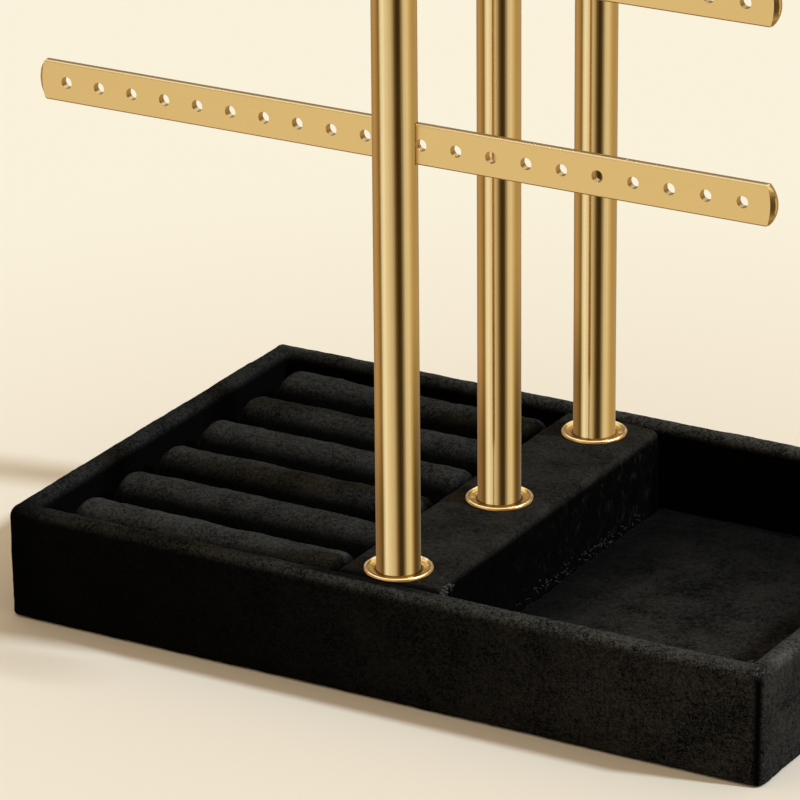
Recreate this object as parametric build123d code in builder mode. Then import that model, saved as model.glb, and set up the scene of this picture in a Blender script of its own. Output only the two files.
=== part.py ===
from build123d import *
from math import cos, radians, sin, tan
import os

# A jewelry stand. A velvet-wrapped tray holds a lift-out ring insert on the left and an open padded
# bay on the right. On the plinth between them stand three tubular posts, which carry flat bars with
# holes for earring hooks.
# Millimetres. X runs along the tray's front, Y from front to back, Z up. The origin is the middle of
# the footprint, on the table.

os.makedirs("parts", exist_ok=True)

# Tray, outside the velvet
tray_length = 244.0
tray_depth = 154.0
tray_height = 34.6
corner_radius = 3.0
rim_radius = 3.2

# Sheets that the tray is made of
velvet = 0.9
wall_board = 5.0
base_board_thickness = 3.0
felt_thickness = 1.0
felt_margin = 0.3
hem_gap = 0.3

# Plinth between the bays, and the padded floor of the open bay
post_line_x = -1.2
plinth_width = 32.0
plinth_drop = 1.6
plinth_edge_radius = 2.5
bay_floor_height = 9.6
pad_gap = 0.3
pad_edge_radius = 2.0

# Ring insert: a card with padded rolls on it, which lifts out
insert_gap = 0.5
insert_seat_gap = 0.3
card_thickness = 2.0
roll_count = 6
ring_slot = 3.2
roll_drop = 1.1
roll_wall_gap = 4.5
roll_plinth_gap = 0.8
roll_end_radius = 5.0
roll_taper = 4.0  # degrees that each side draws in towards the card

# Posts
post_diameter = 12.7
post_wall = 1.0
post_end_margin = 11.2
post_above_bar = 8.95
collar_diameter = 20.2
collar_plate = 0.8
collar_bead = 0.8  # radius of the rolled edge
collar_play = 0.1
cap_rim = 0.8
cap_crown = 2.4
cap_spigot = 5.0
spigot_play = 0.1

# Bars
bar_length = 232.0
bar_height = 11.7
bar_thickness = 2.4
bar_end_bulge = 3.3  # how far the middle of each end stands out past its corners
bar_corner_radius = 1.5
bar_aside = -0.6  # a bar's middle is this far along from the post's
bar_behind = 1.2  # and this far towards the back
bar_play = 0.1
lowest_bar_z = 160.2
bar_step = 55.0
hole_diameter = 3.4
hole_beside_post = 2.45
hole_pitch = 10.84
hole_end_margin = 8.0

# Screws and bolts
set_screw_diameter = 3.0
set_screw_recess = 0.3
set_screw_key = 1.5
set_screw_key_depth = 1.5
bolt_diameter = 6.0
bolt_reach = 12.0
bolt_hole_play = 0.3
bolt_head_diameter = 10.0
bolt_head_height = 4.0
bolt_key = 4.0
bolt_key_depth = 2.2
washer_diameter = 13.0
washer_thickness = 1.2
bolt_head_cover = 0.8
recess_play = 0.5
thread_play = 0.05
plug_play = 0.05
plug_length = 16.0

# Places that follow from these sizes
wall = wall_board + 2 * velvet
rim_round = min(rim_radius, wall / 2 - 0.1)
inner_length = tray_length - 2 * wall
inner_depth = tray_depth - 2 * wall
base_top = felt_thickness + base_board_thickness
plinth_top = tray_height - plinth_drop
plinth_left = post_line_x - plinth_width / 2
plinth_right = post_line_x + plinth_width / 2

post_radius = post_diameter / 2
post_bore = post_radius - post_wall
post_spacing = inner_depth / 2 - post_end_margin
post_places = [(post_line_x, row * post_spacing) for row in (-1, 0, 1)]
front_place, middle_place, back_place = post_places
bar_heights = [lowest_bar_z + step * bar_step for step in range(4)]

washer_top = felt_thickness + bolt_head_cover + bolt_head_height + washer_thickness
bolt_hole_radius = bolt_diameter / 2 + bolt_hole_play
recess_radius = washer_diameter / 2 + recess_play


def wall_ring(inset, bottom):
    """All four walls in one ring, this far inside the velvet's faces, with both rim edges round."""
    with BuildPart() as ring:
        with BuildSketch(Plane.XY.offset(bottom)):
            RectangleRounded(tray_length - 2 * inset, tray_depth - 2 * inset, corner_radius - inset)
            Rectangle(inner_length + 2 * inset, inner_depth + 2 * inset, mode=Mode.SUBTRACT)
        extrude(amount=tray_height - inset - bottom)
        fillet(ring.edges().group_by(Axis.Z)[-1], rim_round - inset)
    return ring.part


# Base board and the felt under it, with a recess for each post's bolt head
with BuildPart() as base_felt:
    with BuildSketch():
        Rectangle(inner_length + 2 * velvet - 2 * felt_margin, inner_depth + 2 * velvet - 2 * felt_margin)
        with Locations(*post_places):
            Circle(recess_radius, mode=Mode.SUBTRACT)
    extrude(amount=felt_thickness)
base_felt.part.label = "base_felt"
export_step(base_felt.part, "parts/base_felt.step")

with BuildPart() as base_board:
    with BuildSketch(Plane.XY.offset(felt_thickness)):
        Rectangle(inner_length + 2 * velvet, inner_depth + 2 * velvet)
        with Locations(*post_places):
            Circle(recess_radius, mode=Mode.SUBTRACT)
    extrude(amount=base_board_thickness)
base_board.part.label = "base_board"
export_step(base_board.part, "parts/base_board.step")

# Wall boards: the front and back run the full length, the sides stand between them
front_face = Plane((0, -inner_depth / 2 - velvet, 0), z_dir=(0, -1, 0))
back_face = Plane((0, inner_depth / 2 + velvet, 0), z_dir=(0, 1, 0))
left_face = Plane((-inner_length / 2 - velvet, 0, 0), z_dir=(-1, 0, 0))
right_face = Plane((inner_length / 2 + velvet, 0, 0), z_dir=(1, 0, 0))

with BuildPart() as front_board:
    add(wall_ring(velvet, felt_thickness))
    split(bisect_by=front_face, keep=Keep.TOP)
front_board.part.label = "front_board"
export_step(front_board.part, "parts/front_board.step")

with BuildPart() as back_board:
    add(wall_ring(velvet, felt_thickness))
    split(bisect_by=back_face, keep=Keep.TOP)
back_board.part.label = "back_board"
export_step(back_board.part, "parts/back_board.step")

with BuildPart() as left_board:
    add(wall_ring(velvet, felt_thickness))
    split(bisect_by=left_face, keep=Keep.TOP)
    split(bisect_by=front_face, keep=Keep.BOTTOM)
    split(bisect_by=back_face, keep=Keep.BOTTOM)
left_board.part.label = "left_board"
export_step(left_board.part, "parts/left_board.step")

with BuildPart() as right_board:
    add(wall_ring(velvet, felt_thickness))
    split(bisect_by=right_face, keep=Keep.TOP)
    split(bisect_by=front_face, keep=Keep.BOTTOM)
    split(bisect_by=back_face, keep=Keep.BOTTOM)
right_board.part.label = "right_board"
export_step(right_board.part, "parts/right_board.step")

# Velvet wrap: up the outside of the walls, over the rim and down to the base board, with its hem
# turned in under the walls
with BuildPart() as wall_wrap:
    add(wall_ring(0, hem_gap))
    add(wall_ring(velvet, felt_thickness), mode=Mode.SUBTRACT)
    with BuildSketch():
        Rectangle(inner_length + 2 * velvet, inner_depth + 2 * velvet)
    extrude(amount=base_top, mode=Mode.SUBTRACT)
wall_wrap.part.label = "wall_wrap"
export_step(wall_wrap.part, "parts/wall_wrap.step")


def plinth_form(inset):
    """The plinth, this far inside its velvet, with its two long top edges round."""
    with BuildPart() as form:
        with BuildSketch(Plane.XY.offset(base_top)):
            with Locations((post_line_x, 0)):
                Rectangle(plinth_width - 2 * inset, inner_depth)
        extrude(amount=plinth_top - inset - base_top)
        fillet(form.edges().filter_by(Axis.Y).group_by(Axis.Z)[-1], plinth_edge_radius - inset)
    return form.part


# Plinth: a solid block between the front and back walls, bored for the bolts, under velvet
with BuildPart() as plinth_block:
    add(plinth_form(velvet))
    with BuildSketch(Plane.XY.offset(base_top)):
        with Locations(*post_places):
            Circle(bolt_hole_radius)
    extrude(amount=plinth_top - base_top, mode=Mode.SUBTRACT)
    with BuildSketch(Plane.XY.offset(base_top)):
        with Locations(*post_places):
            Circle(recess_radius)
    extrude(amount=washer_top - base_top, mode=Mode.SUBTRACT)
plinth_block.part.label = "plinth_block"
export_step(plinth_block.part, "parts/plinth_block.step")

with BuildPart() as plinth_wrap:
    add(plinth_form(0))
    add(plinth_form(velvet), mode=Mode.SUBTRACT)
    with BuildSketch(Plane.XY.offset(base_top)):
        with Locations(*post_places):
            Circle(bolt_hole_radius)
    extrude(amount=plinth_top - base_top, mode=Mode.SUBTRACT)
plinth_wrap.part.label = "plinth_wrap"
export_step(plinth_wrap.part, "parts/plinth_wrap.step")


def pad_form(inset):
    """The open bay's floor pad, this far inside its velvet, with its top edge round."""
    length = inner_length / 2 - plinth_right - 2 * pad_gap
    with BuildPart() as form:
        with BuildSketch(Plane.XY.offset(base_top)):
            with Locations((plinth_right + pad_gap + length / 2, 0)):
                Rectangle(length - 2 * inset, inner_depth - 2 * pad_gap - 2 * inset)
        extrude(amount=bay_floor_height - inset - base_top)
        fillet(form.edges().group_by(Axis.Z)[-1], pad_edge_radius - inset)
    return form.part


# Padded floor of the open bay: foam under velvet, glued to the base board
with BuildPart() as bay_pad_foam:
    add(pad_form(velvet))
bay_pad_foam.part.label = "bay_pad_foam"
export_step(bay_pad_foam.part, "parts/bay_pad_foam.step")

with BuildPart() as bay_pad_wrap:
    add(pad_form(0))
    add(pad_form(velvet), mode=Mode.SUBTRACT)
bay_pad_wrap.part.label = "bay_pad_wrap"
export_step(bay_pad_wrap.part, "parts/bay_pad_wrap.step")

# Ring insert: the card that carries the rolls, faced with velvet
card_left = -inner_length / 2 + insert_gap
card_right = plinth_left - insert_gap
card_depth = inner_depth - 2 * insert_gap
card_bottom = base_top + insert_seat_gap
card_middle = (card_left + card_right) / 2

with BuildPart() as ring_card:
    with BuildSketch(Plane.XY.offset(card_bottom)):
        with Locations((card_middle, 0)):
            Rectangle(card_right - card_left, card_depth)
    extrude(amount=card_thickness)
ring_card.part.label = "ring_card"
export_step(ring_card.part, "parts/ring_card.step")

with BuildPart() as ring_card_velvet:
    with BuildSketch(Plane.XY.offset(card_bottom + card_thickness)):
        with Locations((card_middle, 0)):
            Rectangle(card_right - card_left, card_depth)
    extrude(amount=velvet)
ring_card_velvet.part.label = "ring_card_velvet"
export_step(ring_card_velvet.part, "parts/ring_card_velvet.step")

# Ring rolls: foam bars with a round crown and drawn-in sides under velvet, one slot apart
roll_pitch = card_depth / roll_count
roll_width = roll_pitch - ring_slot
roll_rows = [(row - (roll_count - 1) / 2) * roll_pitch for row in range(roll_count)]
roll_left = -inner_length / 2 + roll_wall_gap
roll_right = plinth_left - roll_plinth_gap
roll_bottom = card_bottom + card_thickness + velvet
roll_centre_z = tray_height - roll_drop - roll_width / 2
roll_foot = roll_width / 2 - (roll_centre_z - roll_bottom) * tan(radians(roll_taper))
roll_end_round = min(roll_end_radius, roll_foot - velvet)


def roll_form(inset, bottom):
    """One roll on Y = 0, this far inside its velvet, with domed ends."""
    radius = roll_width / 2 - inset
    tangent_y = radius * cos(radians(roll_taper))
    tangent_z = roll_centre_z - radius * sin(radians(roll_taper))
    foot_y = tangent_y - (tangent_z - bottom) * tan(radians(roll_taper))
    with BuildPart() as form:
        with BuildSketch(Plane.YZ.offset(roll_left + inset)):
            with BuildLine():
                CenterArc((0, roll_centre_z), radius, -roll_taper, 90 + roll_taper)
                CenterArc((0, roll_centre_z), radius, 90, 90 + roll_taper)
                Polyline(
                    (-tangent_y, tangent_z),
                    (-foot_y, bottom),
                    (foot_y, bottom),
                    (tangent_y, tangent_z),
                )
            make_face()
        extrude(amount=roll_right - roll_left - 2 * inset)
        ends = form.faces().filter_by(Axis.X)
        domed = [edge for edge in ends.edges() if edge.center().Z > bottom + velvet]
        fillet(domed, roll_end_round - inset)
    return form.part


with BuildPart() as roll_cores:
    with Locations(*[(0, row) for row in roll_rows]):
        add(roll_form(velvet, roll_bottom))
roll_cores.part.label = "roll_cores"
export_step(roll_cores.part, "parts/roll_cores.step")

with BuildPart() as roll_wrap:
    add(roll_form(0, roll_bottom))
    add(roll_form(velvet, roll_bottom - velvet), mode=Mode.SUBTRACT)

for number, row in enumerate(roll_rows, start=1):
    with BuildPart() as ring_roll:
        with Locations((0, row)):
            add(roll_wrap.part)
    ring_roll.part.label = f"ring_roll_{number}"
    export_step(ring_roll.part, f"parts/ring_roll_{number}.step")


def post_top(bar_levels):
    """The top of the tube that carries bars at these levels."""
    return bar_levels[-1] + bar_height / 2 + post_above_bar


# Posts: tubes that stand on the plinth, slotted across where a bar goes through
def post_tube(place, bar_levels):
    """A tube at this place, with a slot and a set screw's hole for each bar."""
    x, y = place
    with BuildPart() as tube:
        with BuildSketch(Plane.XY.offset(plinth_top)):
            with Locations(place):
                Circle(post_radius)
                Circle(post_bore, mode=Mode.SUBTRACT)
        extrude(amount=post_top(bar_levels) - plinth_top)
        with BuildSketch(Plane.YZ.offset(x - post_radius)):
            with Locations(*[(y + bar_behind, level) for level in bar_levels]):
                Rectangle(bar_thickness + 2 * bar_play, bar_height + 2 * bar_play)
        extrude(amount=post_diameter, mode=Mode.SUBTRACT)
        with BuildSketch(Plane((x, y, 0), x_dir=(1, 0, 0), z_dir=(0, -1, 0))):
            with Locations(*[(0, level) for level in bar_levels]):
                Circle(set_screw_diameter / 2 + thread_play)
        extrude(amount=-post_diameter, mode=Mode.SUBTRACT)
    return tube.part


# Caps: a low crown on each tube's top, with a spigot in the bore
def post_cap(place, bar_levels):
    """The cap of the post at this place."""
    top = post_top(bar_levels)
    spigot = post_bore - spigot_play
    with BuildPart() as cap:
        with BuildSketch(Plane((*place, top), x_dir=(1, 0, 0), z_dir=(0, -1, 0))):
            with BuildLine():
                Polyline(
                    (0, cap_rim + cap_crown),
                    (0, -cap_spigot),
                    (spigot, -cap_spigot),
                    (spigot, 0),
                    (post_radius, 0),
                    (post_radius, cap_rim),
                )
                RadiusArc((post_radius, cap_rim), (0, cap_rim + cap_crown), -crown_radius)
            make_face()
        revolve(axis=Axis((*place, 0), (0, 0, 1)))
    return cap.part


crown_radius = (post_radius**2 + cap_crown**2) / (2 * cap_crown)
posts = [
    ("front", front_place, bar_heights[:2]),
    ("middle", middle_place, bar_heights[2:3]),
    ("back", back_place, bar_heights[3:]),
]

for name, place, bar_levels in posts:
    with BuildPart() as post:
        add(post_tube(place, bar_levels))
    post.part.label = f"post_{name}"
    export_step(post.part, f"parts/post_{name}.step")

    with BuildPart() as cap:
        add(post_cap(place, bar_levels))
    cap.part.label = f"post_cap_{name}"
    export_step(cap.part, f"parts/post_cap_{name}.step")

    # Collar: a thin plate with a rolled edge, which hides the tube's foot on the velvet
    with BuildPart() as collar:
        with BuildSketch(Plane((*place, plinth_top), x_dir=(1, 0, 0), z_dir=(0, -1, 0))):
            bead_middle = collar_diameter / 2 - collar_bead
            plate_inner = post_radius + collar_play
            with Locations(((plate_inner + bead_middle) / 2, collar_plate / 2)):
                Rectangle(bead_middle - plate_inner, collar_plate)
            with Locations((bead_middle, collar_bead)):
                Circle(collar_bead)
        revolve(axis=Axis((*place, 0), (0, 0, 1)))
    collar.part.label = f"post_collar_{name}"
    export_step(collar.part, f"parts/post_collar_{name}.step")

    # Plug: a threaded insert fixed in the tube's foot, which takes the bolt
    with BuildPart() as plug:
        with BuildSketch(Plane.XY.offset(plinth_top)):
            with Locations(place):
                Circle(post_bore - plug_play)
                Circle(bolt_diameter / 2 + thread_play, mode=Mode.SUBTRACT)
        extrude(amount=plug_length)
    plug.part.label = f"post_plug_{name}"
    export_step(plug.part, f"parts/post_plug_{name}.step")

# Bolts from below, one up through the base and the plinth into each post, with a washer each
with BuildPart() as post_bolts:
    with BuildSketch(Plane.XY.offset(washer_top - washer_thickness)):
        with Locations(*post_places):
            Circle(bolt_diameter / 2)
    extrude(amount=plinth_top + bolt_reach - washer_top + washer_thickness)
    with BuildSketch(Plane.XY.offset(felt_thickness + bolt_head_cover)):
        with Locations(*post_places):
            Circle(bolt_head_diameter / 2)
    extrude(amount=bolt_head_height)
    with BuildSketch(Plane.XY.offset(felt_thickness + bolt_head_cover)):
        with Locations(*post_places):
            RegularPolygon(bolt_key / 2, 6, major_radius=False)
    extrude(amount=bolt_key_depth, mode=Mode.SUBTRACT)
post_bolts.part.label = "post_bolts"
export_step(post_bolts.part, "parts/post_bolts.step")

with BuildPart() as bolt_washers:
    with BuildSketch(Plane.XY.offset(washer_top - washer_thickness)):
        with Locations(*post_places):
            Circle(washer_diameter / 2)
            Circle(bolt_hole_radius, mode=Mode.SUBTRACT)
    extrude(amount=washer_thickness)
bolt_washers.part.label = "bolt_washers"
export_step(bolt_washers.part, "parts/bolt_washers.step")

# Bars: flat strips on edge through the posts, with a row of holes on each side of the post
bars = [
    ("earring_bar_lower", front_place, bar_heights[0]),
    ("earring_bar_upper", front_place, bar_heights[1]),
    ("bar_middle", middle_place, bar_heights[2]),
    ("bar_back", back_place, bar_heights[3]),
]
first_hole = post_radius + hole_beside_post
holes_per_side = 1 + int((bar_length / 2 - hole_end_margin - first_hole) / hole_pitch)
hole_places = [
    (side * (first_hole + count * hole_pitch), 0)
    for side in (-1, 1)
    for count in range(holes_per_side)
]

bar_shoulder = bar_length / 2 - bar_end_bulge

for name, (x, y), level in bars:
    bar_front = (x + bar_aside, y + bar_behind - bar_thickness / 2, level)
    with BuildPart() as bar:
        with BuildSketch(Plane(bar_front, x_dir=(1, 0, 0), z_dir=(0, -1, 0))) as strip:
            with BuildLine():
                Line((-bar_shoulder, bar_height / 2), (bar_shoulder, bar_height / 2))
                ThreePointArc(
                    (bar_shoulder, bar_height / 2), (bar_length / 2, 0), (bar_shoulder, -bar_height / 2)
                )
                Line((bar_shoulder, -bar_height / 2), (-bar_shoulder, -bar_height / 2))
                ThreePointArc(
                    (-bar_shoulder, -bar_height / 2), (-bar_length / 2, 0), (-bar_shoulder, bar_height / 2)
                )
            make_face()
            fillet(strip.vertices(), bar_corner_radius)
            with Locations(*hole_places):
                Circle(hole_diameter / 2, mode=Mode.SUBTRACT)
        extrude(amount=-bar_thickness)
    bar.part.label = name
    export_step(bar.part, f"parts/{name}.step")

# Set screws: one from the back of the post against each bar
bar_back_face = bar_behind + bar_thickness / 2

with BuildPart() as bar_set_screws:
    for name, (x, y), level in bars:
        with BuildSketch(Plane((x, y + bar_back_face, level), x_dir=(-1, 0, 0), z_dir=(0, 1, 0))):
            Circle(set_screw_diameter / 2)
        extrude(amount=post_radius - set_screw_recess - bar_back_face)
        outer_end = Plane((x, y + post_radius - set_screw_recess, level), x_dir=(-1, 0, 0), z_dir=(0, 1, 0))
        with BuildSketch(outer_end):
            RegularPolygon(set_screw_key / 2, 6, major_radius=False)
        extrude(amount=-set_screw_key_depth, mode=Mode.SUBTRACT)
bar_set_screws.part.label = "bar_set_screws"
export_step(bar_set_screws.part, "parts/bar_set_screws.step")

print("ring roll pitch", round(roll_pitch, 2), "roll width", round(roll_width, 2))
print("last hole", first_hole + (holes_per_side - 1) * hole_pitch, "of half length", bar_length / 2)
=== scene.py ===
from math import cos, pi, radians, sin
from random import Random

import bmesh
import bpy
from mathutils import Euler, Matrix, Vector


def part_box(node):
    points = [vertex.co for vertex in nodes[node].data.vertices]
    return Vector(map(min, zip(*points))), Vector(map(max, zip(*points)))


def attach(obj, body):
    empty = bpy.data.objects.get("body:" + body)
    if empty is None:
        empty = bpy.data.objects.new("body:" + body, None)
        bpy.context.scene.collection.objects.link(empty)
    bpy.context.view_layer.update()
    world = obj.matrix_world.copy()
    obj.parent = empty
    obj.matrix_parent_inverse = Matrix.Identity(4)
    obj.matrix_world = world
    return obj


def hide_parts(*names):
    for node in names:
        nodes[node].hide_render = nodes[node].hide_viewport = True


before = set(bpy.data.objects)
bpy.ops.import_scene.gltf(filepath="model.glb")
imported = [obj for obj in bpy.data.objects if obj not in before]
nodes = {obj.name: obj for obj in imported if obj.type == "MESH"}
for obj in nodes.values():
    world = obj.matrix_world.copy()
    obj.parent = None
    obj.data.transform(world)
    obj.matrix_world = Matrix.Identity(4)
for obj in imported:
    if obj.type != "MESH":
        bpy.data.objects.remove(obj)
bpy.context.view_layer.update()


# Base: a sheet of grey board closes the tray from below, with black felt glued under it. Both are
# punched out under each post, so that the bolt heads sit in a recess. The four wall boards, cut from
# the same grey board, are glued round it.

class Wire:
    """One value on its way through a material's nodes. Arithmetic on it adds Math nodes."""

    def __init__(self, finish, socket):
        self.finish = finish
        self.socket = socket

    def maths(self, operation, first, second):
        return self.finish.node("ShaderNodeMath", {"operation": operation}, {0: first, 1: second})

    def __add__(self, other):
        return self.maths("ADD", self, other)

    def __radd__(self, other):
        return self.maths("ADD", other, self)

    def __sub__(self, other):
        return self.maths("SUBTRACT", self, other)

    def __rsub__(self, other):
        return self.maths("SUBTRACT", other, self)

    def __mul__(self, other):
        return self.maths("MULTIPLY", self, other)

    def __rmul__(self, other):
        return self.maths("MULTIPLY", other, self)

    def __truediv__(self, other):
        return self.maths("DIVIDE", self, other)

    def __rtruediv__(self, other):
        return self.maths("DIVIDE", other, self)


class Finish:
    """A material with its nodes, or the world's."""

    def __init__(self, owner):
        owner.use_nodes = True
        self.owner = owner
        self.tree = owner.node_tree

    def node(self, kind, settings=None, inputs=None, output=0):
        made = self.tree.nodes.new(kind)
        for name, value in (settings or {}).items():
            if name == "stops":
                self.set_stops(made.color_ramp, value)
            elif name == "interpolation":
                made.color_ramp.interpolation = value
            else:
                setattr(made, name, value)
        self.plug(made, inputs or {})
        return Wire(self, made.outputs[output])

    def set_stops(self, ramp, stops):
        while len(ramp.elements) < len(stops):
            ramp.elements.new(1.0)
        for element, (place, colour) in zip(ramp.elements, stops):
            element.position = place
            element.color = (*colour, 1.0)

    def plug(self, made, inputs):
        for name, value in inputs.items():
            if isinstance(value, Wire):
                self.tree.links.new(value.socket, made.inputs[name])
            else:
                made.inputs[name].default_value = value

    def place(self):
        """The point's own place on the object, in metres."""
        return self.node("ShaderNodeTexCoord", output="Object")

    def along(self, place, axis):
        """How far along X, Y or Z a place is."""
        return self.node("ShaderNodeSeparateXYZ", inputs={0: place}, output=axis)

    def noise(self, place, grain, detail=2.0, distortion=0.0, stretch=(1.0, 1.0, 1.0)):
        """Noise from 0 to 1 in lumps of about this grain in metres, longer where stretch is over 1."""
        scale = tuple(1.0 / (grain * along) for along in stretch)
        scaled = self.node("ShaderNodeMapping", inputs={"Vector": place, "Scale": scale})
        inputs = {"Vector": scaled, "Scale": 1.0, "Detail": detail, "Distortion": distortion}
        return self.node("ShaderNodeTexNoise", inputs=inputs)

    def ramp_up(self, value, start, end):
        """0 where the value is under start, 1 where it is over end, smooth between."""
        settings = {"interpolation_type": "SMOOTHSTEP"}
        return self.node("ShaderNodeMapRange", settings, {"Value": value, "From Min": start, "From Max": end})

    def blend(self, share, first, second):
        """The first colour where share is 0 and the second where it is 1."""
        first, second = (c if isinstance(c, Wire) else (*c, 1.0) for c in (first, second))
        return self.node("ShaderNodeMix", {"data_type": "RGBA"}, {0: share, 6: first, 7: second}, 2)

    def relief(self, height, depth, strength=1.0):
        """A bump of this depth in metres, as a normal."""
        return self.node("ShaderNodeBump", inputs={"Height": height, "Distance": depth, "Strength": strength})

    def surface(self, **inputs):
        """Sets the surface shader's inputs, named with underscores, and gives the material."""
        shader = self.tree.nodes["Principled BSDF"]
        self.plug(shader, {name.replace("_", " "): value for name, value in inputs.items()})
        return self.owner


def new_finish(name):
    return Finish(bpy.data.materials.new(name))


def coat_node(name, material):
    """Gives a CAD node its finish."""
    slots = nodes[name].data.materials
    slots.clear()
    slots.append(material)


def grey_board():
    """Pressed paper fibre, grey-brown, with short fibres lying flat in it."""
    finish = new_finish("grey_board")
    place = finish.place()
    dark, pale = (0.17, 0.15, 0.125), (0.33, 0.3, 0.255)
    fibre = finish.noise(place, 0.0006, 4.0, 0.4, (6.0, 1.5, 1.0))
    cloud = finish.noise(place, 0.018, 3.0)
    shade = finish.ramp_up(fibre * 0.7 + cloud * 0.3, 0.32, 0.68)
    colour = finish.blend(shade, dark, pale)
    return finish.surface(Base_Color=colour, Roughness=0.9, Normal=finish.relief(fibre, 0.00008))


def black_felt():
    """Pressed black felt: short matted fibres with the odd lighter one."""
    finish = new_finish("black_felt")
    place = finish.place()
    black, pale = (0.004, 0.004, 0.004), (0.035, 0.034, 0.032)
    matted = finish.noise(place, 0.0009, 5.0, 1.6)
    stray = finish.ramp_up(finish.noise(place, 0.0004, 2.0, 2.5, (5.0, 1.0, 1.0)), 0.66, 0.74)
    colour = finish.blend(matted * 0.7 + stray * 0.4, black, pale)
    relief = finish.relief(matted, 0.0004, 0.8)
    return finish.surface(
        Base_Color=colour, Roughness=0.95, Sheen_Weight=0.2, Sheen_Roughness=0.5, Normal=relief
    )


board = grey_board()
for board_name in ("base_board", "front_board", "back_board", "left_board", "right_board"):
    coat_node(board_name, board)
    nodes[board_name].visible_glossy = False
coat_node("base_felt", black_felt())
nodes["base_felt"].visible_glossy = False


# Wall velvet: one strip of black velvet is glued up the outside of the four wall boards, over the
# rounded rim and down inside, with its hem turned in under the walls. The real strip has a mitre fold
# at each corner, which is not modelled: the corners are simply rounded.

walls_low, walls_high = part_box("wall_wrap")
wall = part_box("plinth_wrap")[0].y - walls_low.y
hem_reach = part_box("base_board")[0].y - walls_low.y
base_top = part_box("base_board")[1].z
rim_radius = 0.0031
corner_radius = 0.003
wall_skin = 0.0009
wall_lumps = ((0.022, 0.0005), (0.0045, 0.00028), (0.0018, 0.00016))
wall_grey = (0.076, 0.072, 0.063)
# How much grey pile each side shows. The front's growth to the right, the rim's growth to the right and back,
# and the dark corners are painted light and painted shade.
front_least_painted_light, front_painted_light, right_lean, left_lean, back_lean = 0.03, 0.38, 0.41, 0.3, 0.35
rim_lean_and_painted_light, rim_painted_light_right, rim_painted_light_back = 0.36, 0.70, 0.36
near_right_painted_shade, near_left_painted_shade, tucked_painted_shade = 0.55, 0.75, 0.9
touching = 0.00001


def begin(name):
    """Names the primitive just added, puts its place in its mesh and opens it for editing."""
    piece = bpy.context.object
    piece.name = name
    piece.data.name = name
    bpy.ops.object.transform_apply(location=True, rotation=True, scale=True)
    bpy.ops.object.mode_set(mode="EDIT")
    return piece


def middle(part):
    """The middle of a face or an edge."""
    return sum((corner.co for corner in part.verts), Vector()) / len(part.verts)


def pick(kind, test):
    """Selects the faces, edges or vertices that pass a test, and nothing else."""
    bpy.ops.mesh.select_mode(type=kind)
    bpy.ops.mesh.select_all(action="DESELECT")
    shape = bmesh.from_edit_mesh(bpy.context.object.data)
    for part in {"FACE": shape.faces, "EDGE": shape.edges, "VERT": shape.verts}[kind]:
        if test(part):
            part.select_set(True)
    shape.select_flush_mode()
    bmesh.update_edit_mesh(bpy.context.object.data)


def modify(piece, kind, **settings):
    """Adds a modifier to a piece and applies it."""
    bpy.ops.object.select_all(action="DESELECT")
    bpy.context.view_layer.objects.active = piece
    piece.select_set(True)
    change = piece.modifiers.new(kind.lower(), kind)
    for name, value in settings.items():
        setattr(change, name, value)
    bpy.ops.object.modifier_apply(modifier=change.name)


def even_skin(piece, step):
    """Gives a closed piece an even skin of small faces, so that it can take soft dents."""
    modify(piece, "REMESH", mode="VOXEL", voxel_size=step, adaptivity=0.0, use_smooth_shade=True)


def ruffle(piece, lumps):
    """Lets the surface rise and sink in lumps, given as pairs of their grain and their depth."""
    for grain, depth in lumps:
        cloud = bpy.data.textures.new(f"{piece.name}_lumps", "CLOUDS")
        cloud.noise_scale = grain
        cloud.noise_depth = 1
        modify(piece, "DISPLACE", texture=cloud, texture_coords="LOCAL", strength=depth, mid_level=0.5)


def swell(piece, step, most):
    """Blows a padded piece up as cloth, its foot held down, no point moving further than most.

    The cloth is worked out ten times as large, because Blender's cloth is made for bigger things.
    """
    even_skin(piece, step)
    bigger = 10.0
    moments = 20
    held_steps = 1.2
    piece.data.transform(Matrix.Scale(bigger, 4))
    start = [corner.co.copy() for corner in piece.data.vertices]
    floor = min(corner.z for corner in start) + step * bigger * held_steps
    foot = piece.vertex_groups.new(name="foot")
    foot.add([number for number, corner in enumerate(start) if corner.z < floor], 1.0, "REPLACE")
    cloth = piece.modifiers.new("cloth", "CLOTH")
    cloth.settings.vertex_group_mass = "foot"
    cloth.settings.use_pressure = True
    cloth.settings.uniform_pressure_force = 4.0
    cloth.settings.effector_weights.gravity = 0.0
    cloth.point_cache.frame_start = 1
    cloth.point_cache.frame_end = moments
    for moment in range(1, moments + 1):
        bpy.context.scene.frame_set(moment)
    bpy.ops.object.select_all(action="DESELECT")
    bpy.context.view_layer.objects.active = piece
    piece.select_set(True)
    bpy.ops.object.modifier_apply(modifier=cloth.name)
    bpy.context.scene.frame_set(1)
    for corner, first in zip(piece.data.vertices, start):
        moved = corner.co - first
        if moved.length > most * bigger:
            corner.co = first + moved.normalized() * most * bigger
    piece.vertex_groups.clear()
    piece.data.transform(Matrix.Scale(1 / bigger, 4))
    modify(piece, "SUBSURF", levels=1, render_levels=1)


def brushed(finish, place, crush, soft=0.2):
    """Where velvet's pile leans and shows grey, from 0 to 1, and how high it stands."""
    fibre = finish.noise(place, 0.00038)
    tuft = finish.noise(place, 0.0012, 2.0, 0.3)
    patch = finish.noise(place, 0.012, 2.0, 0.4)
    level = fibre * (0.55 - 0.15 * crush) + tuft * 0.3 + patch * (0.15 + 0.15 * crush)
    return finish.ramp_up(level, 0.5 - soft, 0.5 + soft), fibre * 0.5 + tuft * 0.5


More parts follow.
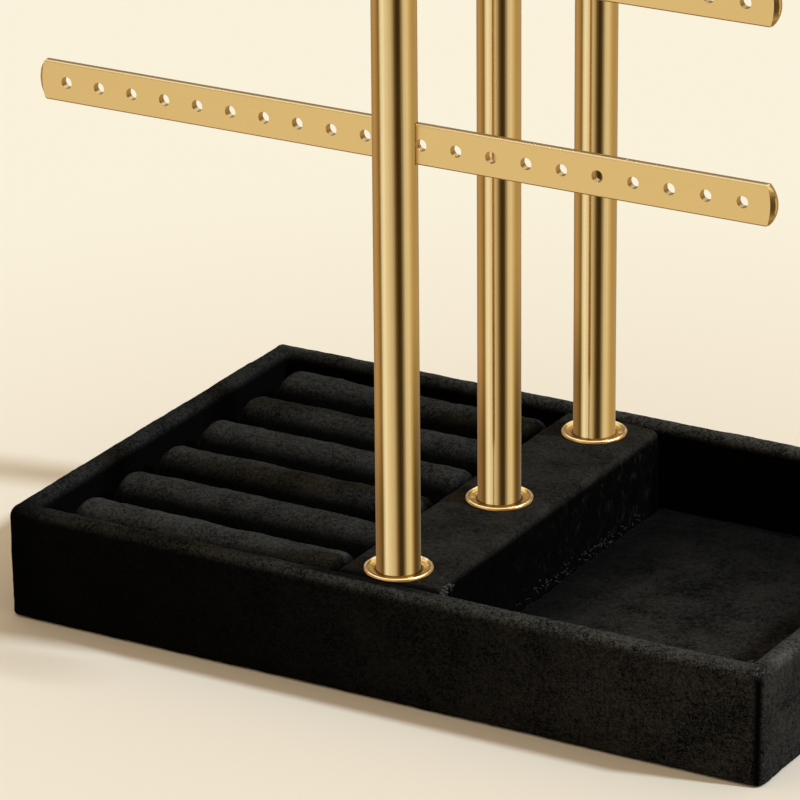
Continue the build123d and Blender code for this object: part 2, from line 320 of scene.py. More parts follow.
def velvet(finish, leaning, height, grey):
    """Black velvet: black where its pile points at the eye, this grey where it leans. On most pieces the lean
    it is given also carries painted light and shade.
    """
    black = tuple(channel * 0.015 for channel in grey)
    pile_depth = 0.0007
    return finish.surface(
        Base_Color=finish.blend(leaning, black, grey),
        Roughness=0.95,
        Specular_IOR_Level=0.01,
        Sheen_Weight=0.005,
        Sheen_Roughness=0.4,
        Sheen_Tint=(0.85, 0.82, 0.76, 1.0),
        Normal=finish.relief(height, pile_depth, 0.8),
    )


bpy.ops.object.select_all(action="DESELECT")
bpy.ops.mesh.primitive_cube_add(
    size=1, location=(walls_low + walls_high) / 2, scale=walls_high - walls_low
)
wall_velvet = begin("wall_velvet")
pick("FACE", lambda face: face.normal.z > 0.9)
bpy.ops.mesh.inset(thickness=wall)
sink = base_top - walls_high.z
bpy.ops.mesh.extrude_region_move(TRANSFORM_OT_translate={"value": (0, 0, sink)})
bpy.ops.mesh.delete(type="FACE")
pick("FACE", lambda face: face.normal.z < -0.9)
bpy.ops.mesh.inset(thickness=hem_reach)
bpy.ops.mesh.delete(type="FACE")
pick("EDGE", lambda edge: edge.is_boundary)
bpy.ops.mesh.bridge_edge_loops()
pick("EDGE", lambda edge: abs(middle(edge).x) > walls_high.x - touching
     and abs(middle(edge).y) > walls_high.y - touching)
bpy.ops.mesh.bevel(offset=corner_radius, segments=6, affect="EDGES")
pick("EDGE", lambda edge: middle(edge).z > walls_high.z - touching and len(edge.link_faces) == 2
     and any(face.normal.z < 0.5 for face in edge.link_faces))
bpy.ops.mesh.bevel(offset=rim_radius, segments=8, affect="EDGES")
bpy.ops.object.mode_set(mode="OBJECT")
even_skin(wall_velvet, wall_skin)
ruffle(wall_velvet, wall_lumps)

finish = new_finish("wall_velvet")
place = finish.place()
leaning, height = brushed(finish, place, crush=0.3, soft=0.14)
up, along, across = (finish.along(place, axis) for axis in (2, 0, 1))

# Each mask is 1 on one side of the walls and fades out within millimetres. Only rightwards grows all
# the way along.
rim = finish.ramp_up(up, walls_high.z - 0.0034, walls_high.z - 0.0006)
front = finish.ramp_up(across, walls_low.y + 0.004, walls_low.y + 0.001)
front = front * (1.0 - finish.ramp_up(along, walls_high.x - 0.0034, walls_high.x - 0.0018))
right = finish.ramp_up(along, walls_high.x - 0.0014, walls_high.x - 0.0003)
rightwards = finish.ramp_up(along, walls_low.x, walls_high.x)
back = finish.ramp_up(across, walls_high.y - 0.006, walls_high.y - 0.003)
left = 1.0 - finish.ramp_up(along, walls_low.x + 0.0003, walls_low.x + 0.0012)
behind = finish.ramp_up(across, walls_high.y - 0.0012, walls_high.y - 0.0003)

# Painted light and shade: the leaning pile's grey shows on the outer faces, and the inner faces are kept
# black. On the front wall the grey is painted in more and more to the right.
share = (rightwards * rightwards * front_painted_light + front_least_painted_light) * front + right * right_lean
share = share + left * (1.0 - front) * left_lean + behind * back_lean

# Painted shade: both near corners are darker, and so is the inner side of the front rim beside the plinth.
# Along the rim the pile opens over the edge and shows grey, and the rim is painted lighter to the right and
# to the back as painted light.
at_front = 1.0 - finish.ramp_up(across, walls_low.y + 0.004, walls_low.y + 0.012)
at_left = 1.0 - finish.ramp_up(along, walls_low.x + 0.003, walls_low.x + 0.018)
at_right = finish.ramp_up(along, walls_high.x - 0.008, walls_high.x - 0.002)
rim_share = rim_lean_and_painted_light + rightwards * rim_painted_light_right + back * rim_painted_light_back
rim_share = rim_share * (1.0 - near_right_painted_shade * at_front * at_right)
share = share + rim * (1.0 - share) * rim_share
share = share * (1.0 - near_left_painted_shade * at_front * at_left)
beside_plinth = finish.ramp_up(along, -0.03, -0.018) * (1.0 - finish.ramp_up(along, 0.004, 0.03))
tucked = finish.ramp_up(across, walls_low.y + 0.0018, walls_low.y + 0.003) * at_front * beside_plinth
share = share * (1.0 - tucked_painted_shade * tucked)
wall_velvet.data.materials.append(velvet(finish, leaning * share, height, wall_grey))
wall_velvet.visible_glossy = False
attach(wall_velvet, "stand")
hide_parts("wall_wrap")


# Plinth: the solid block between the two bays is covered in the same velvet, drawn over its rounded
# long edges. The velvet is rubbed and streaky towards the back, and bunched at its near right corner.

plinth_low, plinth_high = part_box("plinth_wrap")
plinth_edge_radius = 0.0026
plinth_end_radius = 0.0011
end_overlap = 0.0004
plinth_skin = 0.0008
plinth_lumps = ((0.014, 0.0005), (0.0035, 0.0004), (0.0015, 0.0002))
plinth_grey = (0.035, 0.031, 0.0245)
rubbed_lean = 0.5
end_painted_shade = 0.9
corner_bunch = 0.0027
bunch_across, bunch_along, bunch_down = 0.0015, 0.004, 0.006
bunch_reach = 0.009

bpy.ops.object.select_all(action="DESELECT")
bpy.ops.mesh.primitive_cube_add(
    size=1,
    location=(plinth_low + plinth_high) / 2,
    scale=plinth_high - plinth_low + Vector((0, 2 * end_overlap, 0)),
)
plinth_velvet = begin("plinth_velvet")
plinth_width = plinth_high.x - plinth_low.x
pick("EDGE", lambda edge: middle(edge).z > plinth_high.z - touching
     and edge.calc_length() > plinth_width + touching)
bpy.ops.mesh.bevel(offset=plinth_edge_radius, segments=6, affect="EDGES")
pick("EDGE", lambda edge: abs(middle(edge).y) > plinth_high.y
     and middle(edge).z > plinth_high.z - plinth_edge_radius - 0.0001)
bpy.ops.mesh.bevel(offset=plinth_end_radius, segments=3, affect="EDGES")
bpy.ops.object.mode_set(mode="OBJECT")
even_skin(plinth_velvet, plinth_skin)
ruffle(plinth_velvet, plinth_lumps)
bpy.ops.object.mode_set(mode="EDIT")
pick("VERT", lambda corner: corner.co.x > plinth_high.x - bunch_across
     and corner.co.y < plinth_low.y + bunch_along
     and corner.co.z > plinth_high.z - bunch_down)
bpy.ops.transform.translate(
    value=(corner_bunch, 0, 0),
    use_proportional_edit=True,
    proportional_edit_falloff="SMOOTH",
    proportional_size=bunch_reach,
)
bpy.ops.object.mode_set(mode="OBJECT")

finish = new_finish("plinth_velvet")
place = finish.place()
leaning, height = brushed(finish, place, crush=0.8, soft=0.22)
up, along, across = (finish.along(place, axis) for axis in (2, 0, 1))
# Painted light and shade: the top is painted grey where it catches the light and the sides stay black apart
# from the rubbed streaks. The near end by the front wall is painted darker.
top_painted_light = finish.ramp_up(up, plinth_high.z - 0.0032, plinth_high.z - 0.0006)
streaks = finish.noise(place, 0.0011, 3.0, 0.6, (1.0, 1.0, 2.2)) * 0.55
streaks = streaks + finish.noise(place, 0.005, 2.0) * 0.45
rubbed = finish.ramp_up(streaks, 0.52, 0.68) * finish.ramp_up(across, -0.045, 0.03) * rubbed_lean
at_end = 1.0 - finish.ramp_up(across, plinth_low.y + 0.0025, plinth_low.y + 0.0055)
share = (rubbed + top_painted_light * (1.0 - rubbed)) * (1.0 - end_painted_shade * at_end)
plinth_velvet.data.materials.append(velvet(finish, leaning * share, height, plinth_grey))
plinth_velvet.visible_glossy = False
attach(plinth_velvet, "stand")
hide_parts("plinth_wrap")

coat_node("plinth_block", board)
nodes["plinth_block"].visible_glossy = False


# Bay pad: the open bay's floor is a thin sheet of foam under velvet, glued to the base board. The
# pile is crushed all over from jewelry lying on it.

pad_low, pad_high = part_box("bay_pad_wrap")
pad_edge_radius = 0.0022
pad_skin = 0.0016
pad_swell = 0.0006
pad_lumps = ((0.03, 0.0009), (0.006, 0.0006), (0.0022, 0.0004))
pad_grey = (0.037, 0.034, 0.0275)
painted_shade_from_plinth, painted_shade_from_back = 0.04, 0.1

bpy.ops.object.select_all(action="DESELECT")
bpy.ops.mesh.primitive_cube_add(size=1, location=(pad_low + pad_high) / 2, scale=pad_high - pad_low)
bay_pad = begin("bay_pad")
pick("EDGE", lambda edge: middle(edge).z > pad_high.z - touching)
bpy.ops.mesh.bevel(offset=pad_edge_radius, segments=6, affect="EDGES")
bpy.ops.object.mode_set(mode="OBJECT")
swell(bay_pad, pad_skin, pad_swell)
ruffle(bay_pad, pad_lumps)

finish = new_finish("bay_pad_velvet")
place = finish.place()
leaning, height = brushed(finish, place, crush=0.8, soft=0.15)
along, across = (finish.along(place, axis) for axis in (0, 1))
# Painted shade: the pad is painted darker beside the plinth and towards the back wall.
from_plinth = finish.ramp_up(along, pad_low.x, pad_low.x + painted_shade_from_plinth)
from_back = 1.0 - finish.ramp_up(across, pad_high.y - painted_shade_from_back, pad_high.y)
share = 0.1 + from_plinth * (0.08 + from_back * 0.82)
bay_pad.data.materials.append(velvet(finish, leaning * share, height, pad_grey))
bay_pad.visible_glossy = False
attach(bay_pad, "stand")
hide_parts("bay_pad_wrap", "bay_pad_foam")


# Ring insert: a card faced with velvet, which lifts out of the left bay. Its six rolls are foam bars
# in velvet, glued on side by side, with a slot between each two that grips the rings.

card_low, card_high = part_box("ring_card_velvet")
card_edge_radius = 0.0003
card_cuts = 60
card_lumps = ((0.004, 0.0002),)
card_grey = (0.014, 0.0135, 0.013)

bpy.ops.object.select_all(action="DESELECT")
bpy.ops.mesh.primitive_cube_add(size=1, location=(card_low + card_high) / 2, scale=card_high - card_low)
card_velvet = begin("card_velvet")
bpy.ops.mesh.select_all(action="SELECT")
bpy.ops.mesh.bevel(offset=card_edge_radius, segments=2, affect="EDGES")
pick("EDGE", lambda edge: edge.calc_length() > 0.01)
bpy.ops.mesh.subdivide(number_cuts=card_cuts)
bpy.ops.object.mode_set(mode="OBJECT")
bpy.ops.object.shade_smooth_by_angle(angle=radians(50))
ruffle(card_velvet, card_lumps)

finish = new_finish("card_velvet")
leaning, height = brushed(finish, finish.place(), crush=0.3)
card_velvet.data.materials.append(velvet(finish, leaning, height, card_grey))
card_velvet.visible_glossy = False
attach(card_velvet, "ring_insert")
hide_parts("ring_card_velvet")


def stiff_card():
    """Stiff card with a smooth face and fine fibre."""
    finish = new_finish("stiff_card")
    dark, pale = (0.2, 0.18, 0.15), (0.3, 0.27, 0.23)
    fibre = finish.noise(finish.place(), 0.0005, 3.0, 0.3, (4.0, 1.0, 1.0))
    colour = finish.blend(fibre, dark, pale)
    return finish.surface(Base_Color=colour, Roughness=0.85, Normal=finish.relief(fibre, 0.00004))


coat_node("ring_card", stiff_card())
nodes["ring_card"].visible_glossy = False

roll_low, roll_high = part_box("ring_roll_1")
roll_names = [f"ring_roll_{number}" for number in range(1, 7)]
roll_rows = [(low.y + high.y) / 2 for low, high in (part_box(name) for name in roll_names)]
roll_size = roll_high - roll_low
roll_radius = roll_size.y / 2
roll_centre = Vector(((roll_low.x + roll_high.x) / 2, 0, roll_high.z - roll_radius))
roll_ends = ((-1, 0.0054), (1, 0.0026))
roll_shrink = 0.0006
roll_draw_in = 0.0011
roll_skin = 0.0013
roll_swell = 0.0005
roll_lumps = ((0.016, 0.0009), (0.005, 0.0005), (0.0018, 0.00025))
roll_grey = (0.058, 0.0555, 0.048)

bpy.ops.object.select_all(action="DESELECT")
bpy.ops.mesh.primitive_uv_sphere_add(
    segments=48, ring_count=24, radius=roll_radius, location=roll_centre, rotation=(0, pi / 2, 0)
)
first_roll = begin("ring_roll")
bpy.ops.mesh.bisect(plane_co=roll_centre, plane_no=(0, 0, 1), clear_inner=True)
for side, roll_end in roll_ends:
    pick("VERT", lambda corner: side * (corner.co.x - roll_centre.x) > touching)
    bpy.ops.transform.resize(value=(roll_end / roll_radius, 1, 1), center_override=roll_centre)
    stretch = roll_size.x / 2 - roll_end - roll_shrink
    bpy.ops.transform.translate(value=(side * stretch, 0, 0))
pick("EDGE", lambda edge: edge.is_boundary)
foot_drop = roll_low.z - roll_centre.z
bpy.ops.mesh.extrude_edges_move(TRANSFORM_OT_translate={"value": (0, 0, foot_drop)})
foot_share = (1 - 2 * roll_draw_in / roll_size.x, 1 - roll_draw_in / roll_radius, 1)
bpy.ops.transform.resize(value=foot_share, center_override=(roll_centre.x, 0, roll_low.z))
bpy.ops.mesh.edge_face_add()
bpy.ops.object.mode_set(mode="OBJECT")
swell(first_roll, roll_skin, roll_swell)

finish = new_finish("roll_velvet")
place = finish.place()
leaning, height = brushed(finish, place, crush=0.4, soft=0.18)
# Painted light and shade: each roll's crown is painted grey where it catches the light and its sides are kept
# black. Its left end is painted dark, and the rolls nearer the front are painted a little lighter.
painted_crown_light = finish.ramp_up(finish.along(place, 2), roll_high.z - 0.0047, roll_high.z - 0.0003)
along = finish.along(place, 0)
lit_length = finish.ramp_up(along, roll_low.x + 0.0005, roll_low.x + 0.0045)
nearest_painted_light = 1.0 - finish.ramp_up(finish.along(place, 1), roll_low.y, roll_low.y + 0.05)
share = (0.05 + painted_crown_light * 0.95) * (0.03 + 0.97 * lit_length) * (0.84 + 0.16 * nearest_painted_light)
roll_velvet = velvet(finish, leaning * share, height, roll_grey)
for name, row in zip(roll_names, roll_rows):
    roll = first_roll.copy()
    roll.data = first_roll.data.copy()
    bpy.context.collection.objects.link(roll)
    roll.name = f"{name}_velvet"
    roll.data.name = roll.name
    roll.data.transform(Matrix.Translation((0, row, 0)))
    ruffle(roll, roll_lumps)
    roll.data.materials.append(roll_velvet)
    roll.visible_glossy = False
    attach(roll, "ring_insert")
    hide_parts(name, "roll_cores")
bpy.data.objects.remove(first_roll)


# Lint: loose fibres that black velvet picks up and never lets go of. They lie thickest along the
# plinth's foot and at its near end, in the rim's near right corner, and between the rolls' left ends.

lint_length = 0.0013
lint_radius = 0.00007
lint_drops = (-0.00008, -0.00002, 0.0001, 0.00022)
lint_tip_share = 0.4
shortest_share, longest_share = 0.5, 1.3

bpy.ops.object.select_all(action="DESELECT")
bpy.ops.mesh.primitive_circle_add(vertices=5, radius=lint_radius, fill_type="NGON", rotation=(0, pi / 2, 0))
fibre = begin("lint")
for drop in lint_drops:
    step = (lint_length / len(lint_drops), 0, -drop)
    bpy.ops.mesh.extrude_region_move(TRANSFORM_OT_translate={"value": step})
bpy.ops.transform.resize(value=(lint_tip_share,) * 3, center_override=(lint_length, 0, 0))
bpy.ops.mesh.select_all(action="SELECT")
bpy.ops.mesh.normals_make_consistent(inside=False)
bpy.ops.object.mode_set(mode="OBJECT")


def lint_finish(name, palest):
    """Dull loose fibre, some of it nearly black."""
    finish = new_finish(name)
    darkest = (0.012, 0.011, 0.009)
    shade = finish.ramp_up(finish.noise(finish.place(), 0.0012, 1.0), 0.4, 0.65)
    colour = finish.blend(shade, darkest, (palest, palest * 0.95, palest * 0.85))
    return finish.surface(Base_Color=colour, Roughness=0.9)


pale_lint = lint_finish("pale_lint", 0.17)
dull_lint = lint_finish("dull_lint", 0.048)
chance = Random(11)


def shed_lint(name, body, material, start, end, count, spread):
    """Drops this many fibres about a line, turned every way but mostly lying down, as one piece."""
    fibres = []
    for _ in range(count):
        stray = Vector([chance.gauss(0, room) for room in spread])
        spot = start.lerp(end, chance.random()) + stray
        lean = Euler((0, chance.gauss(0, 0.35), chance.uniform(0, 2 * pi)))
        one = fibre.copy()
        one.data = fibre.data.copy()
        bpy.context.collection.objects.link(one)
        size = chance.uniform(shortest_share, longest_share)
        one.data.transform(Matrix.LocRotScale(spot, lean, Vector((size, 1, 1))))
        fibres.append(one)
    bpy.ops.object.select_all(action="DESELECT")
    for one in fibres:
        one.select_set(True)
    bpy.context.view_layer.objects.active = fibres[0]
    bpy.ops.object.join()
    lint = fibres[0]
    lint.name = name
    lint.data.name = name
    lint.data.materials.append(material)
    lint.visible_glossy = False
    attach(lint, body)


pad_top = pad_high.z + 0.0002
foot = plinth_high.x + 0.0004
shed_lint(
    "lint_plinth_foot",
    "stand",
    dull_lint,
    start=Vector((foot, -0.066, pad_top)),
    end=Vector((foot, 0.058, pad_top)),
    count=170,
    spread=(0.0009, 0.002, 0.0009),
)
rim_top = walls_high.z - 0.0006
shed_lint(
    "lint_rim_corner",
    "stand",
    pale_lint,
    start=Vector((walls_high.x - wall - 0.001, walls_low.y + wall, rim_top)),
    end=Vector((walls_high.x - 0.0012, walls_low.y + 0.0016, rim_top)),
    count=34,
    spread=(0.0004, 0.0004, 0.0002),
)
bunch_x = plinth_high.x + corner_bunch - 0.0008
shed_lint(
    "lint_plinth_end",
    "stand",
    pale_lint,
    start=Vector((bunch_x, plinth_low.y + 0.009, plinth_high.z - 0.0006)),
    end=Vector((bunch_x, plinth_low.y + 0.0025, plinth_high.z - 0.0012)),
    count=60,
    spread=(0.0005, 0.0009, 0.0003),
)
for name, row in zip(roll_names[:3], roll_rows):
    spot = Vector((roll_low.x + 0.0006, row + roll_radius * 0.75, roll_high.z - 0.007))
    shed_lint(
        name.replace("ring_roll", "lint_beside_roll"),
        "ring_insert",
        dull_lint,
        start=spot,
        end=spot + Vector((0.0012, 0.002, 0.001)),
        count=24,
        spread=(0.0003, 0.0006, 0.0006),
    )
bpy.data.objects.remove(fibre)


# Posts: three brass-coloured steel tubes stand on the plinth, with a low cap on each. A threaded plug
# in each one's foot takes a bolt, with a zinc-plated washer, that comes up through base and plinth.

post_names = ("front", "middle", "back")
post_colour = (0.80, 0.585, 0.275)
lengthwise = (1.0, 1.0, 50.0)


def bright_gold(name, colour, roughness, brushed_along):
    """Bright gold plating over steel, clean and even, with very fine lines from polishing."""
    finish = new_finish(name)
    place = finish.place()
    cloud = finish.noise(place, 0.009, 2.0, 0.3)
    lines = finish.noise(place, 0.00018, 2.0, 0.0, brushed_along)
    deeper = tuple(channel * share for channel, share in zip(colour, (0.965, 0.945, 0.90)))
    relief = finish.relief(lines, 0.000003, 0.4)
    return finish.surface(
        Base_Color=finish.blend(cloud, deeper, colour),
        Metallic=1.0,
        Roughness=roughness + lines * 0.03 + cloud * 0.03,
        Normal=relief,
    )


def paint_foot_reflection(material):
    """Painted reflection: near the foot, the tube's two sides are painted dark where they would mirror the
    black velvet beside it.
    """
    bay_side = (0.866, 0.5)
    darkest_to, bay_fade_end, roll_fade_end = 0.048, 0.118, 0.083
    painted_velvet_reflection = (0.16, 0.094, 0.0165)
    finish = Finish(material)
    shader = finish.tree.nodes["Principled BSDF"]
    plating = Wire(finish, shader.inputs["Base Color"].links[0].from_socket)
    up, across = (finish.along(finish.place(), axis) for axis in (2, 1))
    facing = finish.node("ShaderNodeTexCoord", output="Normal")
    sideways = finish.along(facing, 0) * bay_side[0] + finish.along(facing, 1) * bay_side[1]
    over_bay = finish.ramp_up(sideways, 0.54, 0.78) * (1.0 - finish.ramp_up(up, darkest_to, bay_fade_end))
    over_bay = over_bay * (1.0 - finish.ramp_up(across, -0.01, 0.045))
    over_rolls = finish.ramp_up(sideways * -1.0, 0.5, 0.75)
    over_rolls = over_rolls * (1.0 - finish.ramp_up(up, darkest_to, roll_fade_end))
    dark = finish.blend(over_bay + over_rolls * 0.6, plating, painted_velvet_reflection)
    return finish.surface(Base_Color=dark)


def zinc_steel():
    """Zinc-plated steel, grey with a faint yellow and blue cast."""
    finish = new_finish("zinc_steel")
    yellowish, bluish = (0.5, 0.49, 0.45), (0.62, 0.64, 0.67)
    cloud = finish.noise(finish.place(), 0.0018, 3.0, 0.8)
    colour = finish.blend(cloud, yellowish, bluish)
    return finish.surface(Base_Color=colour, Metallic=1.0, Roughness=0.28 + cloud * 0.2)


post_gold = paint_foot_reflection(bright_gold("post_gold", post_colour, roughness=0.1, brushed_along=lengthwise))
zinc = zinc_steel()
for name in post_names:
    coat_node(f"post_{name}", post_gold)
    coat_node(f"post_cap_{name}", post_gold)
    coat_node(f"post_plug_{name}", zinc)
coat_node("post_bolts", zinc)
coat_node("bolt_washers", zinc)


# Collars: a thin pressed ring with a rolled edge slips over each tube and hides its foot on the
# velvet. Between the rolled edge and the tube it is dished, and the pressing left it a little uneven.

collar_low, collar_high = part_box("post_collar_front")
post_low, post_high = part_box("post_front")
collar_radius = (collar_high.x - collar_low.x) / 2 - 0.0002
collar_bore = (post_high.x - post_low.x) / 2 + 0.0001
collar_base = collar_low.z
collar_steps = 96
collar_lumps = ((0.004, 0.0003),)
bead_radius = 0.0005
same_point = 0.000001


def draw_outline(points):
    """From one corner, extrudes an outline through these points."""
    bpy.ops.mesh.select_mode(type="VERT")
    bpy.ops.mesh.select_all(action="SELECT")
    bpy.ops.mesh.merge(type="CENTER")
    for start, end in zip(points, points[1:]):
        bpy.ops.mesh.extrude_vertices_move(TRANSFORM_OT_translate={"value": end - start})


def turn(axis_place, steps):
    """Spins the drawn outline about an upright axis into a closed, turned piece."""
    bpy.ops.mesh.select_all(action="SELECT")
    bpy.ops.mesh.spin(steps=steps, angle=2 * pi, center=axis_place, axis=(0, 0, 1))
    bpy.ops.mesh.select_all(action="SELECT")
    bpy.ops.mesh.remove_doubles(threshold=same_point)
    bpy.ops.mesh.normals_make_consistent(inside=False)


# The collar's outline, across from the post's middle and up from the plinth: dish, then rolled edge.
bead_centre = collar_radius - bead_radius
bead = [
    (bead_centre + bead_radius * cos(angle), bead_radius + bead_radius * sin(angle))
    for angle in (radians(150 - 24 * step) for step in range(11))
]
collar_outline = [
    (collar_bore, 0.0001),
    (collar_bore, 0.0005),
    (collar_bore + 0.0012, 0.00038),
    (bead_centre - 0.0008, 0.00045),
    *bead,
    (collar_bore, 0.0001),
]


def pressed_gold():
    """Gold plating, painted a deeper orange in the uneven dish as painted shade and paler on the polished
    rolled edge as a painted highlight.
    """
    deep, pale = (0.86, 0.47, 0.09), (0.87, 0.64, 0.29)
    finish = new_finish("collar_gold")
    place = finish.place()
    painted_edge_highlight = finish.ramp_up(finish.along(place, 2), collar_base + 0.0006, collar_base + 0.0009)
    colour = finish.blend(painted_edge_highlight, deep, pale)
    dents = finish.relief(finish.noise(place, 0.0024, 1.0), 0.00017)
    return finish.surface(Base_Color=colour, Metallic=1.0, Roughness=0.28, Normal=dents)


collar_gold = pressed_gold()
for name in post_names:
    low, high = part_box(f"post_collar_{name}")
    axis_place = Vector(((low.x + high.x) / 2, (low.y + high.y) / 2, collar_base))
    points = [axis_place + Vector((across, 0, up)) for across, up in collar_outline]
    bpy.ops.object.select_all(action="DESELECT")
    bpy.ops.mesh.primitive_plane_add(size=0.001, location=points[0])
    collar = begin(f"collar_{name}")
    draw_outline(points)
    turn(axis_place, collar_steps)
    bpy.ops.object.mode_set(mode="OBJECT")
    bpy.ops.object.shade_smooth()
    ruffle(collar, collar_lumps)
    collar.data.materials.append(collar_gold)
    collar.visible_glossy = False
    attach(collar, "stand")
    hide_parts(f"post_collar_{name}")


# Bars: flat strips on edge, cut from sheet, with a row of punched holes on each side of the post and
# rounded ends that slope off towards the front. They are tumbled, so that their edges are soft, and
# plated. Each goes through a slot across its post, where a screw from behind holds it.

bar_names = ("earring_bar_lower", "earring_bar_upper", "bar_middle", "bar_back")
bar_end_bulge = 0.0024
bar_end_slope = 0.0011
bar_front_bulge_share = 0.4
bar_edge_radius = 0.00045
hole_edge_radius = 0.00033
hole_radius = 0.0017
hole_pitch = 0.01084
hole_beside_post = 0.00245
hole_end_margin = 0.008
bar_colour = (0.73, 0.47, 0.17)
end_steps = 12
sharp = radians(50)

bar_low, bar_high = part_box("earring_bar_lower")
bar_size = bar_high - bar_low
bar_middle = (bar_low + bar_high) / 2
first_hole = (post_high.x - post_low.x) / 2 + hole_beside_post
holes_per_side = 1 + int((bar_size.x / 2 - hole_end_margin - first_hole) / hole_pitch)
bar_shoulder = bar_size.x / 2 - bar_end_bulge
end_radius = ((bar_size.z / 2) ** 2 + bar_end_bulge**2) / (2 * bar_end_bulge)

bpy.ops.object.select_all(action="DESELECT")
bpy.ops.mesh.primitive_cube_add(
    size=1, location=bar_middle, scale=(2 * bar_shoulder, bar_size.y, bar_size.z)
)
first_bar = begin("bar")

# Each flat end bulges out into an arc, and its front is then drawn in.
pick("EDGE", lambda edge: abs(middle(edge).x - bar_middle.x) > bar_shoulder - touching
     and abs(middle(edge).z - bar_middle.z) < touching)
bpy.ops.mesh.subdivide(number_cuts=end_steps - 1)
for side in (-1, 1):
    for step in range(1, end_steps):
        height = (step / end_steps - 0.5) * bar_size.z
        bulge = (end_radius**2 - height**2) ** 0.5 - end_radius + bar_end_bulge
        pick("VERT", lambda corner: side * (corner.co.x - bar_middle.x) > bar_shoulder - touching
             and abs(corner.co.z - bar_middle.z - height) < same_point)
        bpy.ops.transform.translate(value=(side * bulge, 0, 0))
bpy.ops.mesh.select_all(action="SELECT")
bpy.ops.mesh.dissolve_limited(angle_limit=radians(1))
bpy.ops.mesh.select_all(action="SELECT")
bpy.ops.mesh.bisect(plane_co=(0, bar_low.y + bar_end_slope, 0), plane_no=(0, 1, 0))
for side in (-1, 1):
    shoulder = (bar_middle.x + side * bar_shoulder, 0, 0)
    pick("VERT", lambda corner: side * (corner.co.x - shoulder[0]) > touching
         and corner.co.y < bar_low.y + touching)
    bpy.ops.transform.resize(value=(bar_front_bulge_share, 1, 1), center_override=shoulder)
pick("EDGE", lambda edge: edge.calc_face_angle(0) > sharp
     and (abs(middle(edge).x - bar_middle.x) < bar_shoulder or middle(edge).y > bar_low.y + touching))
bpy.ops.mesh.bevel(offset=bar_edge_radius, segments=3, affect="EDGES")
bpy.ops.object.mode_set(mode="OBJECT")

punches = []
for side in (-1, 1):
    for count in range(holes_per_side):
        across = side * (first_hole + count * hole_pitch)
        bpy.ops.mesh.primitive_cylinder_add(
            vertices=32,
            radius=hole_radius,
            depth=3 * bar_size.y,
            location=bar_middle + Vector((across, 0, 0)),
            rotation=(pi / 2, 0, 0),
        )
        punches.append(bpy.context.object)
bpy.ops.object.select_all(action="DESELECT")
for punch in punches:
    punch.select_set(True)
bpy.context.view_layer.objects.active = punches[0]
bpy.ops.object.join()
modify(first_bar, "BOOLEAN", operation="DIFFERENCE", solver="EXACT", object=punches[0])
bpy.data.objects.remove(punches[0])
modify(first_bar, "BEVEL", width=hole_edge_radius, segments=2, limit_method="ANGLE", angle_limit=radians(36))
bpy.ops.object.shade_smooth_by_angle(angle=radians(20))
modify(first_bar, "WEIGHTED_NORMAL", keep_sharp=True)

bar_gold = bright_gold("bar_gold", bar_colour, roughness=0.24, brushed_along=(40.0, 1.0, 1.0))
for name in bar_names:
    low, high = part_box(name)
    bar = first_bar.copy()
    bar.data = first_bar.data.copy()
    bpy.context.collection.objects.link(bar)
    bar.name = f"{name}_strip"
    bar.data.name = bar.name
    bar.data.transform(Matrix.Translation(low - bar_low))
    bar.data.materials.append(bar_gold)
    bar.visible_glossy = False
    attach(bar, "stand")
    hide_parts(name)
bpy.data.objects.remove(first_bar)
coat_node("bar_set_screws", zinc)


# Studio: a pale cream table, cool light from a window on the right, a little behind the stand, and
# warm even light all round. The metal mirrors a ring of lighter and darker panels.

def cream_table():
    """Matt cream paper, painted a little deeper round the object as painted shade."""
    finish = new_finish("cream_table")
    place = finish.place()
    away = finish.node("ShaderNodeVectorMath", {"operation": "LENGTH"}, {0: place}, output=1)
    near, far = (0.90, 0.785, 0.63), (0.97, 0.89, 0.725)
    colour = finish.blend(finish.ramp_up(away, 0.1, 0.4), near, far)
    grain = finish.noise(place, 0.002, 3.0)
    relief = finish.relief(grain, 0.00002)
    return finish.surface(Base_Color=colour, Roughness=0.95, Specular_IOR_Level=0.0, Normal=relief)


table_width = 8.0
bpy.ops.object.select_all(action="DESELECT")
bpy.ops.mesh.primitive_plane_add(size=table_width)
table = bpy.context.object
table.name = "table"
table.data.materials.append(cream_table())
table.visible_glossy = False

# The light from all round, as shares of a turn: from the left by the front, right and back again.
panel_stops = [
    (0.0, (0.56, 0.40, 0.23)),
    (0.05, (0.46, 0.32, 0.16)),
    (0.085, (0.28, 0.18, 0.07)),
    (0.105, (0.34, 0.26, 0.14)),
    (0.128, (0.92, 0.95, 1.0)),
    (0.165, (1.12, 1.2, 1.3)),
    (0.21, (0.92, 0.93, 0.92)),
    (0.28, (0.74, 0.69, 0.60)),
    (0.305, (0.50, 0.43, 0.33)),
    (0.337, (0.14, 0.10, 0.05)),
    (0.37, (0.045, 0.03, 0.012)),
    (0.405, (0.07, 0.05, 0.022)),
    (0.435, (0.35, 0.32, 0.25)),
    (0.465, (0.80, 0.79, 0.73)),
    (0.515, (0.91, 0.88, 0.77)),
    (0.55, (0.74, 0.64, 0.46)),
    (0.60, (0.56, 0.44, 0.24)),
    (0.66, (0.52, 0.40, 0.23)),
    (0.76, (0.50, 0.42, 0.28)),
    (0.83, (0.34, 0.24, 0.12)),
    (0.90, (0.40, 0.28, 0.15)),
    (0.95, (0.50, 0.35, 0.20)),
    (1.0, (0.56, 0.40, 0.23)),
]


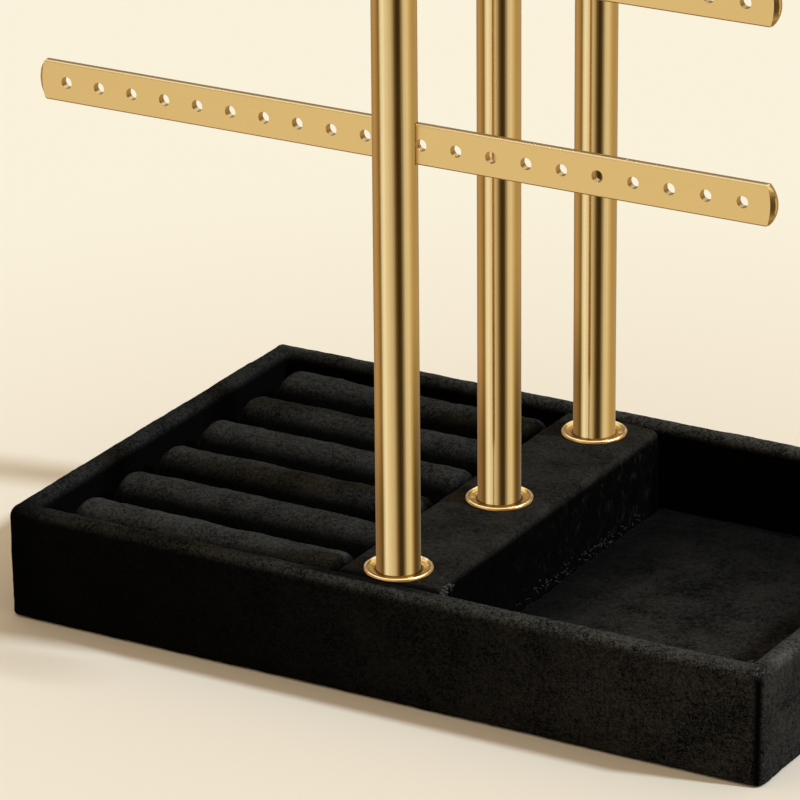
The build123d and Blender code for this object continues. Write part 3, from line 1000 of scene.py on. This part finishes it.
def studio_world():
    """Even soft light, and for the metal a ring of panels with a dark shelf and a bright lid above."""
    shelf_colour, lid_colour, floor_colour = (0.26, 0.23, 0.17), (1.3, 1.5, 2.1), (0.34, 0.26, 0.16)
    soft_light = (0.592, 0.51, 0.402)
    finish = Finish(bpy.data.worlds.new("studio"))
    direction = finish.node("ShaderNodeTexCoord", output="Generated")
    x, y, z = (finish.along(direction, axis) for axis in (0, 1, 2))
    heading = finish.node("ShaderNodeMath", {"operation": "ARCTAN2"}, {0: y, 1: x}) / (2 * pi) + 0.5
    settings = {"stops": panel_stops, "interpolation": "EASE"}
    panels = finish.node("ShaderNodeValToRGB", settings, {"Fac": heading})
    shelf = finish.blend(finish.ramp_up(z, 0.05, 0.2), panels, shelf_colour)
    lid = finish.blend(finish.ramp_up(z, 0.45, 0.62), shelf, lid_colour)
    floor = finish.blend(finish.ramp_up(z, -0.55, -0.8), lid, floor_colour)
    glossy = finish.node("ShaderNodeLightPath", output="Is Glossy Ray")
    colour = finish.blend(glossy, soft_light, floor)
    finish.plug(finish.tree.nodes["Background"], {"Color": colour, "Strength": 1.0})
    return finish.owner


bpy.context.scene.world = studio_world()

window_place = Vector((1.23, 0.284, 0.985))
bpy.ops.object.select_all(action="DESELECT")
bpy.ops.object.light_add(type="SUN", location=window_place)
key_lamp = bpy.context.object
key_lamp.name = "key_lamp"
key_lamp.rotation_euler = window_place.to_track_quat("Z", "Y").to_euler()
key_lamp.data.energy = 2.95
key_lamp.data.angle = radians(4.6)
key_lamp.data.color = (0.69, 0.84, 1.0)


# Camera: a long lens from the front right, looking down at the tray, as in the photograph. The tops
# of the posts are above the picture.

camera_place = (0.69165, -1.25954, 0.62903)
camera_heading = radians(29.957)
camera_dip = radians(21.461)
camera_roll = radians(-0.479)
camera_lens = 240.69

bpy.ops.object.camera_add()
camera = bpy.context.object
camera.matrix_world = (
    Matrix.Translation(camera_place)
    @ Matrix.Rotation(camera_heading, 4, "Z")
    @ Matrix.Rotation(pi / 2 - camera_dip, 4, "X")
    @ Matrix.Rotation(camera_roll, 4, "Z")
)
camera.data.lens = camera_lens
camera.data.sensor_width = 36.0
camera.data.clip_end = 20.0
bpy.context.scene.camera = camera
bpy.context.scene.view_settings.view_transform = "Standard"
